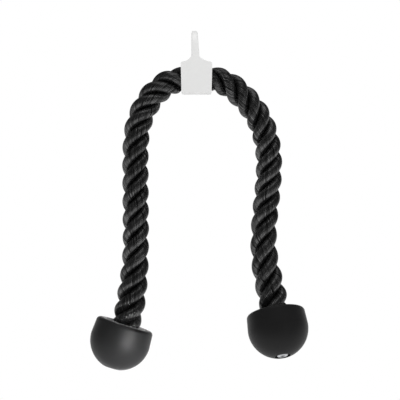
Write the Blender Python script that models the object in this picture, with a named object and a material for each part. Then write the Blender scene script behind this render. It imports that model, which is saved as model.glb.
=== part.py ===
"""Triceps rope attachment for a cable machine, modelled piece by piece.

A laid rope of three strands passes through a cast connector, hangs down as two
legs and ends in a rubber stopper on each side. The connector is a collar with
a lug on top, whose eye hangs on a carabiner. Metres, +Z up, +X along the collar,
and the origin is the middle of the eye's hole. Seen from the front, along +Y.
"""

import math

import bmesh
import bpy
import numpy
from mathutils import Matrix, Vector

# Clearances between fitted pieces, and between the rope and what it lies in
FIT_GAP = 0.0003
ROPE_CLEARANCE = 0.0004
CUT_OVERRUN = 0.004

# Lug with the eye. Its left face is upright and its right one leans out to the foot.
EYE_HOLE_DIAMETER = 0.0200
EYE_RIM_WIDTH = 0.0078
EYE_EDGE_RADIUS = 0.0008
LUG_LEFT_REACH = 0.0040
LUG_TOP_THICKNESS = 0.0073
LUG_FOOT_THICKNESS = 0.0100
LUG_EDGE_RADIUS = 0.0016
LUG_INSET = 0.0002
LUG_SINK = 0.0028

# Collar of the connector, a block that narrows a little towards its bottom
COLLAR_DROP = 0.0185
COLLAR_TOP_LENGTH = 0.0361
COLLAR_BOTTOM_LENGTH = 0.0344
COLLAR_HEIGHT = 0.0361
COLLAR_DEPTH = 0.0400
COLLAR_TOP_RADIUS = 0.0028
COLLAR_BOTTOM_RADIUS = 0.0024
COLLAR_EDGE_RADIUS = 0.0018
COLLAR_SHIFT = 0.0021

# Flare that spreads the lug's load over the collar's shoulders
FLARE_RISE = 0.0070
FLARE_SINK = 0.0004
FLARE_POWER = 1.3

# Bore that the rope passes through, and its rounded mouths
BORE_DEPTH = 0.0189
MOUTH_RADIUS = 0.0018

# Set screw in the back of the collar, which locks the rope
LOCK_SCREW_DIAMETER = 0.0080
LOCK_SCREW_CHAMFER = 0.0006
LOCK_SOCKET_WIDTH = 0.0040
LOCK_SOCKET_DEPTH = 0.0030
LOCK_SCREW_INSET = 0.0008

# Rope: three strands in a right-hand lay
ROPE_DIAMETER = 0.0285
LAY_PITCH = 0.0620
LAY_PHASE_DEGREES = -6.0
STRAND_COUNT = 3
STRAND_CLEARANCE = 0.0002
CROWN_RADIUS_SHARE = 0.60
GROOVE_RADIUS_SHARE = 0.66
CROWN_ANGLES_DEGREES = (-62.0, -31.0, 0.0, 31.0, 62.0)
ROWS_PER_TURN = 12
SETTLING_ROWS = 4
ROUTE_STEP = 0.0005

# Places where the rope bends: a turning cut in each mouth, and a ball outside it
TURN_CUT_INSET = 0.0070
BEND_REACH = 0.0025
BALL_RADIUS = 0.0152
BALL_GAP = 0.0010
BALL_ROW_SHARE = 0.25
BALL_SEARCH_SHARE = 1.5
BALL_HALVINGS = 30

# Rubber stopper, its socket and its recess
STOPPER_RIM_DIAMETER = 0.0672
STOPPER_DIAMETER = 0.0695
STOPPER_BARREL = 0.0195
STOPPER_RIM_RADIUS = 0.0025
STOPPER_MOUTH_RADIUS = 0.0012
SOCKET_DEPTH = 0.0300
RECESS_DIAMETER = 0.0180
RECESS_DEPTH = 0.0080
RECESS_EDGE_RADIUS = 0.0008

# Steel cup on each rope end, with the washer and the screw that hold the rubber
CUP_WALL = 0.0012
CUP_SKIRT = 0.0140
CUP_BASE = 0.0080
END_SCREW_DIAMETER = 0.0080
END_SCREW_HEAD_DIAMETER = 0.0130
END_SCREW_HEAD_HEIGHT = 0.0042
END_SCREW_HEAD_RADIUS = 0.0018
END_SCREW_CHAMFER = 0.0007
END_SOCKET_WIDTH = 0.0050
END_SOCKET_DEPTH = 0.0026
WASHER_DIAMETER = 0.0164
WASHER_THICKNESS = 0.0016

# Facets of round work
TURNED_SIDES = 32
SMALL_SIDES = 24
KEY_SIDES = 6
ARC_STEPS = 4
MOUTH_STEPS = 2
FLARE_STEPS = 6
LUG_STEPS = 16
DOME_STEPS = 8
ROUND_PROFILE = 0.5
SHARP_ANGLE_DEGREES = 40.0
MERGE_DISTANCE = 0.00003

# Finishes: colour, metallic value and roughness
NICKEL = ((0.72, 0.72, 0.71), 0.9, 0.38)
ZINC = ((0.58, 0.59, 0.60), 1.0, 0.35)
RUBBER = ((0.028, 0.028, 0.029), 0.0, 0.62)
FIBRE = ((0.016, 0.016, 0.017), 0.0, 0.5)

# Route of each leg from the middle of its mouth: outwards, towards the back, down.
# The last stretch of each, from the stopper's face on, is straight.
LEFT_ROUTE = (
    (0.0000, 0.0000, 0.0003),
    (0.0036, 0.0000, 0.0009),
    (0.0105, 0.0000, 0.0030),
    (0.0174, 0.0000, 0.0064),
    (0.0243, 0.0000, 0.0112),
    (0.0310, 0.0000, 0.0175),
    (0.0368, 0.0000, 0.0250),
    (0.0430, 0.0000, 0.0358),
    (0.0476, 0.0000, 0.0474),
    (0.0505, 0.0000, 0.0592),
    (0.0524, 0.0000, 0.0800),
    (0.0526, 0.0000, 0.1100),
    (0.0524, 0.0000, 0.1400),
    (0.0522, 0.0000, 0.1700),
    (0.0524, 0.0000, 0.1965),
    (0.0535, 0.0000, 0.2197),
    (0.0561, 0.0000, 0.2427),
    (0.0597, 0.0000, 0.2657),
    (0.0641, 0.0000, 0.2818),
    (0.0686, 0.0000, 0.2961),
    (0.0731, 0.0000, 0.3104),
)
RIGHT_ROUTE = (
    (0.0000, 0.0000, 0.0003),
    (0.0040, 0.0000, 0.0008),
    (0.0092, 0.0000, 0.0021),
    (0.0161, 0.0000, 0.0049),
    (0.0230, 0.0000, 0.0092),
    (0.0301, 0.0000, 0.0149),
    (0.0383, 0.0000, 0.0231),
    (0.0484, 0.0000, 0.0357),
    (0.0551, 0.0000, 0.0472),
    (0.0597, 0.0000, 0.0587),
    (0.0630, 0.0000, 0.0710),
    (0.0655, 0.0000, 0.0900),
    (0.0655, 0.0000, 0.1100),
    (0.0642, 0.0000, 0.1270),
    (0.0624, 0.0000, 0.1440),
    (0.0605, 0.0000, 0.1640),
    (0.0596, 0.0000, 0.1852),
    (0.0609, -0.0006, 0.2082),
    (0.0650, -0.0027, 0.2312),
    (0.0697, -0.0065, 0.2519),
    (0.0725, -0.0111, 0.2674),
    (0.0747, -0.0157, 0.2815),
    (0.0770, -0.0204, 0.2956),
)

# Sizes that follow from the ones above
ROPE_RADIUS = ROPE_DIAMETER / 2
BORE_RADIUS = ROPE_RADIUS + ROPE_CLEARANCE
EYE_HEAD_RADIUS = EYE_HOLE_DIAMETER / 2 + EYE_RIM_WIDTH
COLLAR_TOP = -COLLAR_DROP
BORE_HEIGHT = COLLAR_TOP - BORE_DEPTH
COLLAR_BACK = COLLAR_DEPTH / 2
STOPPER_HEIGHT = STOPPER_BARREL + STOPPER_DIAMETER / 2


def collar_length_at(depth):
    """The collar's length along X at a depth below its top."""
    narrowing = (COLLAR_TOP_LENGTH - COLLAR_BOTTOM_LENGTH) * depth / COLLAR_HEIGHT
    return COLLAR_TOP_LENGTH - narrowing


def lug_thickness_at(height):
    """The lug's thickness along X at a height."""
    fall = (EYE_HEAD_RADIUS - height) / (EYE_HEAD_RADIUS - COLLAR_TOP)
    return LUG_TOP_THICKNESS + (LUG_FOOT_THICKNESS - LUG_TOP_THICKNESS) * fall


def mouth_place(side):
    """The middle of a mouth on the bore's axis; side is -1 left and 1 right."""
    reach = collar_length_at(BORE_DEPTH) / 2
    return Vector((COLLAR_SHIFT + side * reach, 0, BORE_HEIGHT))


def arc(middle, radius, start_degrees, end_degrees, steps):
    """Points on an arc, from its start to its end, both included."""
    angles = numpy.linspace(math.radians(start_degrees), math.radians(end_degrees), steps + 1)
    return [(middle[0] + radius * math.cos(a), middle[1] + radius * math.sin(a)) for a in angles]


def rounded(corners, radii, steps):
    """Points of a closed outline whose corners are rounded to the given radii."""
    outline = []
    for index, (corner, radius) in enumerate(zip(corners, radii)):
        point = Vector(corner)
        before = (Vector(corners[index - 1]) - point).normalized()
        after = (Vector(corners[(index + 1) % len(corners)]) - point).normalized()
        half = before.angle(after) / 2
        middle = point + (before + after).normalized() * (radius / math.sin(half))
        start = point + before * (radius / math.tan(half)) - middle
        end = point + after * (radius / math.tan(half)) - middle
        for step in range(steps + 1):
            outline.append(tuple(middle + start.slerp(end, step / steps) * radius))
    return outline


def finish(name, colour, metallic, roughness):
    """A plain material with the part's colour, metallic value and roughness."""
    material = bpy.data.materials.new(name)
    material.use_nodes = True
    shader = material.node_tree.nodes["Principled BSDF"]
    shader.inputs["Base Color"].default_value = (*colour, 1)
    shader.inputs["Metallic"].default_value = metallic
    shader.inputs["Roughness"].default_value = roughness
    material.diffuse_color = (*colour, 1)
    return material


def new_object(name, shape, material, parent=None):
    """An object from a bmesh, shaded smooth except over sharp edges."""
    mesh = bpy.data.meshes.new(name)
    shape.to_mesh(mesh)
    shape.free()
    mesh.shade_smooth()
    mesh.set_sharp_from_angle(angle=math.radians(SHARP_ANGLE_DEGREES))
    mesh.materials.append(material)
    piece = bpy.data.objects.new(name, mesh)
    bpy.context.scene.collection.objects.link(piece)
    piece.parent = parent
    return piece


def new_empty(name, place, parent=None):
    """An empty on a joint's axis, which carries the pieces that move there."""
    empty = bpy.data.objects.new(name, None)
    bpy.context.scene.collection.objects.link(empty)
    empty.parent = parent
    empty.location = place
    return empty


def combine(piece, tool, operation):
    """Add a Boolean modifier to a piece and keep its tool out of sight."""
    tool.hide_render = True
    tool.display_type = "WIRE"
    modifier = piece.modifiers.new(tool.name, "BOOLEAN")
    modifier.operation = operation
    modifier.solver = "EXACT"
    modifier.object = tool


def turned_shape(outline, sides, is_closed):
    """A bmesh of an outline of (radius, height) points turned about the Z axis."""
    shape = bmesh.new()
    points = [shape.verts.new((radius, 0, height)) for radius, height in outline]
    ends = points[1:] + points[:1] if is_closed else points[1:]
    edges = [shape.edges.new(pair) for pair in zip(points, ends)]
    bmesh.ops.spin(
        shape, geom=points + edges, cent=(0, 0, 0), axis=(0, 0, 1),
        angle=2 * math.pi, steps=sides, use_merge=True,
    )
    bmesh.ops.remove_doubles(shape, verts=shape.verts, dist=MERGE_DISTANCE)
    bmesh.ops.recalc_face_normals(shape, faces=shape.faces)
    return shape


def extruded_shape(outline, depth, edge_radius):
    """A bmesh of an outline in the XZ plane, as deep as given, with rounded rims."""
    shape = bmesh.new()
    face = shape.faces.new([shape.verts.new((x, -depth / 2, z)) for x, z in outline])
    raised = bmesh.ops.extrude_face_region(shape, geom=[face])
    back = [item for item in raised["geom"] if isinstance(item, bmesh.types.BMVert)]
    bmesh.ops.translate(shape, verts=back, vec=(0, depth, 0))
    rims = [edge for edge in shape.edges if edge.verts[0].co.y * edge.verts[1].co.y > 0]
    bmesh.ops.bevel(
        shape, geom=rims, offset=edge_radius, offset_type="OFFSET", segments=ARC_STEPS - 1,
        profile=ROUND_PROFILE, affect="EDGES", clamp_overlap=True, material=-1,
    )
    bmesh.ops.recalc_face_normals(shape, faces=shape.faces)
    return shape


class Route:
    """A smooth curve through chosen points, read by the length along it."""

    def __init__(self, points):
        places, slopes = self.spline(numpy.array(points))
        steps = numpy.linalg.norm(numpy.diff(places, axis=0), axis=1)
        self.lengths = numpy.concatenate(([0], numpy.cumsum(steps)))
        self.places = places
        self.alongs = slopes / numpy.linalg.norm(slopes, axis=1)[:, None]
        self.sides = self.carried_sides()

    @staticmethod
    def spline(points):
        """Close places and slopes on the natural cubic spline through the points."""
        chords = numpy.linalg.norm(numpy.diff(points, axis=0), axis=1)
        knots = numpy.concatenate(([0], numpy.cumsum(chords)))
        count = len(points)
        system = numpy.eye(count)
        wanted = numpy.zeros((count, 3))
        for k in range(1, count - 1):
            system[k, k - 1:k + 2] = (chords[k - 1], 2 * (chords[k - 1] + chords[k]), chords[k])
            rise_after = (points[k + 1] - points[k]) / chords[k]
            rise_before = (points[k] - points[k - 1]) / chords[k - 1]
            wanted[k] = 6 * (rise_after - rise_before)
        bends = numpy.linalg.solve(system, wanted)
        reads = numpy.linspace(0, knots[-1], int(knots[-1] / ROUTE_STEP) + 1)
        spans = numpy.clip(numpy.searchsorted(knots, reads, side="right") - 1, 0, count - 2)
        width = chords[spans][:, None]
        left = (knots[spans + 1] - reads)[:, None] / width
        right = 1 - left
        before, after = points[spans], points[spans + 1]
        bend_before, bend_after = bends[spans], bends[spans + 1]
        curve = (left ** 3 - left) * bend_before + (right ** 3 - right) * bend_after
        lean = (3 * right ** 2 - 1) * bend_after - (3 * left ** 2 - 1) * bend_before
        places = left * before + right * after + curve * width ** 2 / 6
        slopes = (after - before) / width + lean * width / 6
        return places, slopes

    def carried_sides(self):
        """A direction square to the curve, carried along it without twist."""
        sides = []
        side = Vector((0, -1, 0))
        for along in self.alongs:
            tangent = Vector(along)
            side = (side - tangent * side.dot(tangent)).normalized()
            sides.append(tuple(side))
        return numpy.array(sides)

    def at(self, length):
        """Place, direction along and direction aside at a length."""
        read = [
            Vector([numpy.interp(length, self.lengths, table[:, axis]) for axis in range(3)])
            for table in (self.places, self.alongs, self.sides)
        ]
        return read[0], read[1].normalized(), read[2].normalized()

    def length_near(self, place):
        """The length at which the curve is closest to a place."""
        distances = numpy.linalg.norm(self.places - numpy.array(place), axis=1)
        return float(self.lengths[int(numpy.argmin(distances))])


def rope_route():
    """The whole centreline, from the left rope end through the collar to the right."""
    def leg(points, side):
        return [mouth_place(side) + Vector((side * out, back, -down)) for out, back, down in points]

    inner = [mouth_place(side) - Vector((side * TURN_CUT_INSET, 0, 0)) for side in (-1, 1)]
    middle = (inner[0] + inner[1]) / 2
    points = leg(LEFT_ROUTE, -1)[::-1] + [inner[0], middle, inner[1]] + leg(RIGHT_ROUTE, 1)
    return Route([tuple(point) for point in points])


def strand_section():
    """Outline of one strand square to the rope: outwards and aside, in metres."""
    half = math.pi / STRAND_COUNT
    gap = STRAND_CLEARANCE
    crown = CROWN_RADIUS_SHARE * ROPE_RADIUS
    groove = GROOVE_RADIUS_SHARE * ROPE_RADIUS
    heart = (gap / math.sin(half), 0)
    flank = (groove * math.cos(half) + gap * math.sin(half),
             groove * math.sin(half) - gap * math.cos(half))
    crowns = [
        (ROPE_RADIUS - crown + crown * math.cos(math.radians(angle)),
         crown * math.sin(math.radians(angle)))
        for angle in CROWN_ANGLES_DEGREES
    ]
    return [heart, (flank[0], -flank[1])] + crowns + [flank]


def strand_point(route, length, offset, strand):
    """The world place of a point of a strand's outline at a length of the rope."""
    place, along, side = route.at(length)
    across = along.cross(side)
    turn = math.radians(LAY_PHASE_DEGREES) + 2 * math.pi * (strand / STRAND_COUNT + length / LAY_PITCH)
    outwards = side * math.cos(turn) + across * math.sin(turn)
    aside = across * math.cos(turn) - side * math.sin(turn)
    return place + outwards * offset[0] + aside * offset[1]


class FlatEnd:
    """A strand end cut square to the rope at a length."""

    is_ball = False

    def __init__(self, length):
        self.length = length

    def length_for(self, route, offset, strand):
        """The length at which a line of the strand ends."""
        return self.length


class BallEnd:
    """A strand end that lies on a ball round a place on the rope."""

    is_ball = True

    def __init__(self, centre_length, radius):
        self.centre_length = centre_length
        self.radius = abs(radius)
        self.way = math.copysign(1, radius)
        self.length = centre_length + radius - self.way * BALL_ROW_SHARE * ROPE_RADIUS

    def length_for(self, route, offset, strand):
        """The length at which a line of the strand meets the ball, by halving."""
        centre = route.at(self.centre_length)[0]
        near, far = 0.0, self.radius * BALL_SEARCH_SHARE
        for _ in range(BALL_HALVINGS):
            reach = (near + far) / 2
            point = strand_point(route, self.centre_length + self.way * reach, offset, strand)
            if (point - centre).length < self.radius:
                near = reach
            else:
                far = reach
        return self.centre_length + self.way * near


def strand_row_lengths(route, outline, start, end, strand, count):
    """Lengths of the outline's points in each row, square apart from the ends."""
    first = [start.length_for(route, offset, strand) - start.length for offset in outline]
    last = [end.length_for(route, offset, strand) - end.length for offset in outline]
    rows = []
    for row in range(count + 1):
        base = start.length + (end.length - start.length) * row / count
        start_share = max(0, 1 - row / SETTLING_ROWS)
        end_share = max(0, 1 - (count - row) / SETTLING_ROWS)
        rows.append([base + a * start_share + b * end_share for a, b in zip(first, last)])
    return rows


def cap_strand(shape, row, route, end, strand, outline, is_start):
    """Close a strand's end with a ring and a middle point that lie on the end."""
    middle = tuple(sum(values) / len(outline) for values in zip(*outline))
    rings = [row]
    if end.is_ball:
        halfway = [tuple((a + b) / 2 for a, b in zip(offset, middle)) for offset in outline]
        points = [
            strand_point(route, end.length_for(route, offset, strand), offset, strand)
            for offset in halfway
        ]
        rings.append([shape.verts.new(point) for point in points])
    peak_length = end.length_for(route, middle, strand)
    peak = shape.verts.new(strand_point(route, peak_length, middle, strand))
    for outer, inner in zip(rings, rings[1:]):
        for k in range(len(outer)):
            after = (k + 1) % len(outer)
            corners = [outer[k], outer[after], inner[after], inner[k]]
            shape.faces.new(corners[::-1] if is_start else corners)
    for k in range(len(rings[-1])):
        corners = [rings[-1][k], rings[-1][(k + 1) % len(rings[-1])], peak]
        shape.faces.new(corners[::-1] if is_start else corners)


def strand_shape(route, start, end, strand, origin):
    """A bmesh of one strand between two ends, with its places about an origin."""
    outline = strand_section()
    count = max(SETTLING_ROWS + 1, round((end.length - start.length) / LAY_PITCH * ROWS_PER_TURN))
    lengths = strand_row_lengths(route, outline, start, end, strand, count)
    shape = bmesh.new()
    rows = [
        [shape.verts.new(strand_point(route, length, offset, strand))
         for length, offset in zip(row, outline)]
        for row in lengths
    ]
    half = len(outline) // 2
    for lower, upper in zip(rows, rows[1:]):
        for k in range(len(outline)):
            after = (k + 1) % len(outline)
            if k < half:
                shape.faces.new((lower[k], lower[after], upper[k]))
                shape.faces.new((lower[after], upper[after], upper[k]))
            else:
                shape.faces.new((lower[k], lower[after], upper[after]))
                shape.faces.new((lower[k], upper[after], upper[k]))
    cap_strand(shape, rows[0], route, start, strand, outline, True)
    cap_strand(shape, rows[-1], route, end, strand, outline, False)
    bmesh.ops.translate(shape, verts=shape.verts, vec=-origin)
    bmesh.ops.recalc_face_normals(shape, faces=shape.faces)
    return shape


def make_strands(name, route, start, end, origin, parent, material):
    """The strands of one stretch of the rope, each a piece of its own."""
    for strand in range(STRAND_COUNT):
        shape = strand_shape(route, start, end, strand, origin)
        new_object(f"{name}_strand_{strand + 1}", shape, material, parent)


def flare_points(side):
    """The hollow from a shoulder of the collar up to the lug's face on that side."""
    shoulder = COLLAR_SHIFT + side * (COLLAR_TOP_LENGTH / 2 - COLLAR_TOP_RADIUS)
    thickness = lug_thickness_at(COLLAR_TOP + FLARE_RISE)
    face = thickness - LUG_LEFT_REACH - FLARE_SINK if side > 0 else FLARE_SINK - LUG_LEFT_REACH
    points = []
    for step in range(1, FLARE_STEPS + 1):
        angle = math.pi / 2 * step / FLARE_STEPS
        out = face + (shoulder - face) * (1 - math.sin(angle) ** FLARE_POWER)
        rise = FLARE_RISE * (1 - max(0, math.cos(angle)) ** FLARE_POWER)
        points.append((out, COLLAR_TOP + rise))
    return points


def make_collar(material):
    """The collar and the flare on its shoulders, as one block with rounded rims."""
    bottom = COLLAR_TOP - COLLAR_HEIGHT
    top_half, bottom_half = COLLAR_TOP_LENGTH / 2, COLLAR_BOTTOM_LENGTH / 2
    corners = [
        (COLLAR_SHIFT - top_half, COLLAR_TOP), (COLLAR_SHIFT + top_half, COLLAR_TOP),
        (COLLAR_SHIFT + bottom_half, bottom), (COLLAR_SHIFT - bottom_half, bottom),
    ]
    radii = (COLLAR_TOP_RADIUS, COLLAR_TOP_RADIUS, COLLAR_BOTTOM_RADIUS, COLLAR_BOTTOM_RADIUS)
    block = rounded(corners, radii, ARC_STEPS)
    corner_points = ARC_STEPS + 1
    outline = block[:corner_points] + flare_points(-1) + flare_points(1)[::-1] + block[corner_points:]
    shape = extruded_shape(outline, COLLAR_DEPTH, COLLAR_EDGE_RADIUS)
    return new_object("connector", shape, material)


def lug_outline():
    """Side outline of the lug: a round head that widens to an upright foot."""
    foot = COLLAR_BACK - LUG_INSET
    knee = COLLAR_TOP + FLARE_RISE
    tangent = math.acos(EYE_HEAD_RADIUS / math.hypot(foot, knee))
    start = math.degrees(math.atan2(knee, foot) + tangent)
    head = arc((0, 0), EYE_HEAD_RADIUS, start, 180 - start, LUG_STEPS)
    low = COLLAR_TOP - LUG_SINK
    return [(-foot, knee), (-foot, low), (foot, low), (foot, knee)] + head


def lean_with_lug(shape):
    """Give a shape made for a plate of the lug's top thickness the lug's own faces."""
    for corner in shape.verts:
        share = corner.co.x / LUG_TOP_THICKNESS + 1 / 2
        corner.co.x = lug_thickness_at(corner.co.z) * share - LUG_LEFT_REACH


def make_lug(material):
    """The lug, a plate square to X that grows thicker towards its foot."""
    shape = extruded_shape(lug_outline(), LUG_TOP_THICKNESS, LUG_EDGE_RADIUS)
    bmesh.ops.rotate(shape, verts=shape.verts, matrix=Matrix.Rotation(math.pi / 2, 3, "Z"))
    lean_with_lug(shape)
    return new_object("lug_form", shape, material)


def through_shape(radius, edge_radius, thickness):
    """A bmesh that cuts a hole along X through a wall and rounds both its mouths."""
    reach = thickness / 2
    wide = radius + edge_radius
    mouth = arc((wide, reach - edge_radius), edge_radius, 180, 90, ARC_STEPS)
    upper = mouth + [(wide, reach + CUT_OVERRUN), (0, reach + CUT_OVERRUN)]
    lower = [(out, -up) for out, up in upper[::-1]]
    shape = turned_shape(lower + upper, TURNED_SIDES, False)
    bmesh.ops.rotate(shape, verts=shape.verts, matrix=Matrix.Rotation(math.pi / 2, 3, "Y"))
    return shape


def make_eye_cutter(material):
    """The cutter of the eye's hole, with the lug's lean."""
    shape = through_shape(EYE_HOLE_DIAMETER / 2, EYE_EDGE_RADIUS, LUG_TOP_THICKNESS)
    lean_with_lug(shape)
    return new_object("eye_cutter", shape, material)


def make_bore_cutter(material):
    """The cutter of the bore that the rope passes through."""
    shape = through_shape(BORE_RADIUS, MOUTH_RADIUS, collar_length_at(BORE_DEPTH))
    cutter = new_object("bore_cutter", shape, material)
    cutter.location = (COLLAR_SHIFT, 0, BORE_HEIGHT)
    return cutter


def make_lock_hole_cutter(material):
    """The cutter of the set screw's hole, through the back wall into the bore."""
    radius = LOCK_SCREW_DIAMETER / 2 + FIT_GAP
    outline = [(0, 0), (radius, 0), (radius, COLLAR_BACK + CUT_OVERRUN), (0, COLLAR_BACK + CUT_OVERRUN)]
    cutter = new_object("lock_hole_cutter", turned_shape(outline, SMALL_SIDES, False), material)
    cutter.location = (COLLAR_SHIFT, 0, BORE_HEIGHT)
    cutter.rotation_euler = (-math.pi / 2, 0, 0)
    return cutter


def make_connector(material):
    """The cast connector: collar, flare and lug in one, bored for the rope."""
    connector = make_collar(material)
    combine(connector, make_lug(material), "UNION")
    combine(connector, make_eye_cutter(material), "DIFFERENCE")
    combine(connector, make_bore_cutter(material), "DIFFERENCE")
    combine(connector, make_lock_hole_cutter(material), "DIFFERENCE")


def make_hex_cutter(name, width, depth, place, piece, material):
    """A six-sided cutter for a key's socket, half of it beyond a screw's end face."""
    radius = width / math.sqrt(3)
    shape = bmesh.new()
    bmesh.ops.create_cone(
        shape, cap_ends=True, segments=KEY_SIDES, radius1=radius, radius2=radius, depth=2 * depth,
    )
    cutter = new_object(name, shape, material, piece)
    cutter.location = (0, 0, place)
    combine(piece, cutter, "DIFFERENCE")


def make_lock_screw(material):
    """The set screw in the collar's back, its point just clear of the rope."""
    radius = LOCK_SCREW_DIAMETER / 2
    tip = ROPE_RADIUS + FIT_GAP
    top = COLLAR_BACK - LOCK_SCREW_INSET
    edge = LOCK_SCREW_CHAMFER
    outline = [
        (0, tip), (radius - edge, tip), (radius, tip + edge),
        (radius, top - edge), (radius - edge, top), (0, top),
    ]
    screw = new_object("rope_lock_screw", turned_shape(outline, SMALL_SIDES, False), material)
    screw.location = (COLLAR_SHIFT, 0, BORE_HEIGHT)
    screw.rotation_euler = (-math.pi / 2, 0, 0)
    make_hex_cutter("lock_key_cutter", LOCK_SOCKET_WIDTH, LOCK_SOCKET_DEPTH, top, screw, material)


def stopper_outline():
    """Outline of the rubber stopper, with its top face at height zero."""
    rim = STOPPER_RIM_DIAMETER / 2
    dome = STOPPER_DIAMETER / 2
    mouth = BORE_RADIUS
    recess = RECESS_DIAMETER / 2
    pocket = BORE_RADIUS + CUP_WALL + FIT_GAP
    hole = END_SCREW_DIAMETER / 2 + FIT_GAP
    cup_floor = -(SOCKET_DEPTH + FIT_GAP + CUP_BASE + FIT_GAP)
    cup_top = -(SOCKET_DEPTH - CUP_SKIRT - FIT_GAP)
    recess_floor = RECESS_DEPTH - STOPPER_HEIGHT
    lip = recess + RECESS_EDGE_RADIUS
    lip_angle = math.degrees(math.asin(lip / dome))
    lip_height = -STOPPER_BARREL - dome * math.cos(math.asin(lip / dome))
    outline = arc((rim - STOPPER_RIM_RADIUS, -STOPPER_RIM_RADIUS), STOPPER_RIM_RADIUS, 90, 0, ARC_STEPS)
    outline += arc((0, -STOPPER_BARREL), dome, 0, lip_angle - 90, DOME_STEPS)
    outline += [(recess, lip_height + RECESS_EDGE_RADIUS), (recess, recess_floor)]
    outline += [(hole, recess_floor), (hole, cup_floor), (pocket, cup_floor)]
    outline += [(pocket, cup_top), (mouth, cup_top)]
    wide = mouth + STOPPER_MOUTH_RADIUS
    outline += arc((wide, -STOPPER_MOUTH_RADIUS), STOPPER_MOUTH_RADIUS, 180, 90, MOUTH_STEPS)
    return outline


def cup_outline():
    """Outline of the steel cup that grips the rope end, in the stopper's heights."""
    inner = BORE_RADIUS
    outer = inner + CUP_WALL
    hole = END_SCREW_DIAMETER / 2 + FIT_GAP
    floor = -SOCKET_DEPTH - FIT_GAP
    base = floor - CUP_BASE
    top = CUP_SKIRT - SOCKET_DEPTH
    edge = CUP_WALL / 2
    return [
        (inner, top), (outer - edge, top), (outer, top - edge), (outer, base + CUP_WALL),
        (outer - CUP_WALL, base), (hole, base), (hole, floor), (inner, floor),
    ]


def washer_outline():
    """Outline of the washer on the floor of the stopper's recess."""
    top = RECESS_DEPTH - STOPPER_HEIGHT - FIT_GAP
    inner = END_SCREW_DIAMETER / 2 + FIT_GAP
    outer = WASHER_DIAMETER / 2
    return [(inner, top), (outer, top), (outer, top - WASHER_THICKNESS), (inner, top - WASHER_THICKNESS)]


def end_screw_outline():
    """Outline of the end screw, its head down and its tip just under the rope end."""
    seat = RECESS_DEPTH - STOPPER_HEIGHT - FIT_GAP - WASHER_THICKNESS - FIT_GAP
    head = END_SCREW_HEAD_DIAMETER / 2
    shank = END_SCREW_DIAMETER / 2
    tip = -SOCKET_DEPTH - FIT_GAP - FIT_GAP
    low = seat - END_SCREW_HEAD_HEIGHT
    middle = (head - END_SCREW_HEAD_RADIUS, low + END_SCREW_HEAD_RADIUS)
    chamfer = END_SCREW_CHAMFER
    return (
        [(0, tip), (shank - chamfer, tip), (shank, tip - chamfer), (shank, seat), (head, seat)]
        + arc(middle, END_SCREW_HEAD_RADIUS, 0, -90, ARC_STEPS - 1) + [(0, low)]
    )


def make_stopper(side_name, frame, parent, rubber, steel):
    """The stopper and what holds it, placed on the rope end by a frame."""
    pieces = (
        (f"{side_name}_stopper", stopper_outline(), TURNED_SIDES, True, rubber),
        (f"{side_name}_rope_end_cup", cup_outline(), SMALL_SIDES, True, steel),
        (f"{side_name}_end_washer", washer_outline(), SMALL_SIDES, True, steel),
        (f"{side_name}_end_screw", end_screw_outline(), SMALL_SIDES, False, steel),
    )
    for name, outline, sides, is_closed, material in pieces:
        piece = new_object(name, turned_shape(outline, sides, is_closed), material, parent)
        piece.location = frame.to_translation()
        piece.rotation_euler = frame.to_euler()
    low = end_screw_outline()[-1][1]
    name = f"{side_name}_key_cutter"
    make_hex_cutter(name, END_SOCKET_WIDTH, END_SOCKET_DEPTH, low, piece, steel)


def stopper_frame(route, face_length, end_length):
    """World frame of a stopper: its face's middle, with -Z down into the socket."""
    face = route.at(face_length)[0]
    inwards = (route.at(end_length)[0] - face).normalized()
    upwards = -inwards
    aside = upwards.cross(Vector((1, 0, 0))).normalized()
    ahead = aside.cross(upwards)
    frame = Matrix((ahead, aside, upwards)).transposed().to_4x4()
    frame.translation = face
    return frame


def make_leg(route, side, rope_finish, rubber, steel):
    """One leg: its neck in the mouth, the leg itself and the stopper on its end."""
    side_name = "left" if side < 0 else "right"
    mouth = mouth_place(side)
    cut = route.length_near(mouth) - side * TURN_CUT_INSET
    bend = route.length_near(mouth) + side * BEND_REACH
    rope_end = 0 if side < 0 else float(route.lengths[-1])
    turn_axis = new_empty(f"{side_name}_swing_axis", mouth)
    bend_place = route.at(bend)[0]
    bend_axis = new_empty(f"{side_name}_spread_axis", bend_place - mouth, turn_axis)
    neck = [FlatEnd(cut + side * FIT_GAP / 2), BallEnd(bend, side * BALL_RADIUS)]
    leg = [BallEnd(bend, side * (BALL_RADIUS + BALL_GAP)), FlatEnd(rope_end)]
    if side < 0:
        # The route runs from left to right, so the left leg comes before its neck.
        neck.reverse()
        leg.reverse()
    make_strands(f"{side_name}_neck", route, *neck, mouth, turn_axis, rope_finish)
    make_strands(f"{side_name}_leg", route, *leg, bend_place, bend_axis, rope_finish)
    frame = stopper_frame(route, rope_end - side * SOCKET_DEPTH, rope_end)
    frame.translation -= bend_place
    make_stopper(side_name, frame, bend_axis, rubber, steel)
    return cut


def main():
    """Clear the scene and build the attachment."""
    for item in list(bpy.data.objects):
        bpy.data.objects.remove(item)
    nickel = finish("satin_nickel", *NICKEL)
    zinc = finish("zinc_steel", *ZINC)
    rubber = finish("black_rubber", *RUBBER)
    fibre = finish("black_rope_fibre", *FIBRE)
    route = rope_route()
    make_connector(nickel)
    make_lock_screw(zinc)
    cuts = [make_leg(route, side, fibre, rubber, zinc) for side in (-1, 1)]
    middle = [FlatEnd(cuts[0] + FIT_GAP / 2), FlatEnd(cuts[1] - FIT_GAP / 2)]
    make_strands("collar", route, *middle, Vector(), None, fibre)
    print(f"rope length {route.lengths[-1]:.4f} m")


main()
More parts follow.
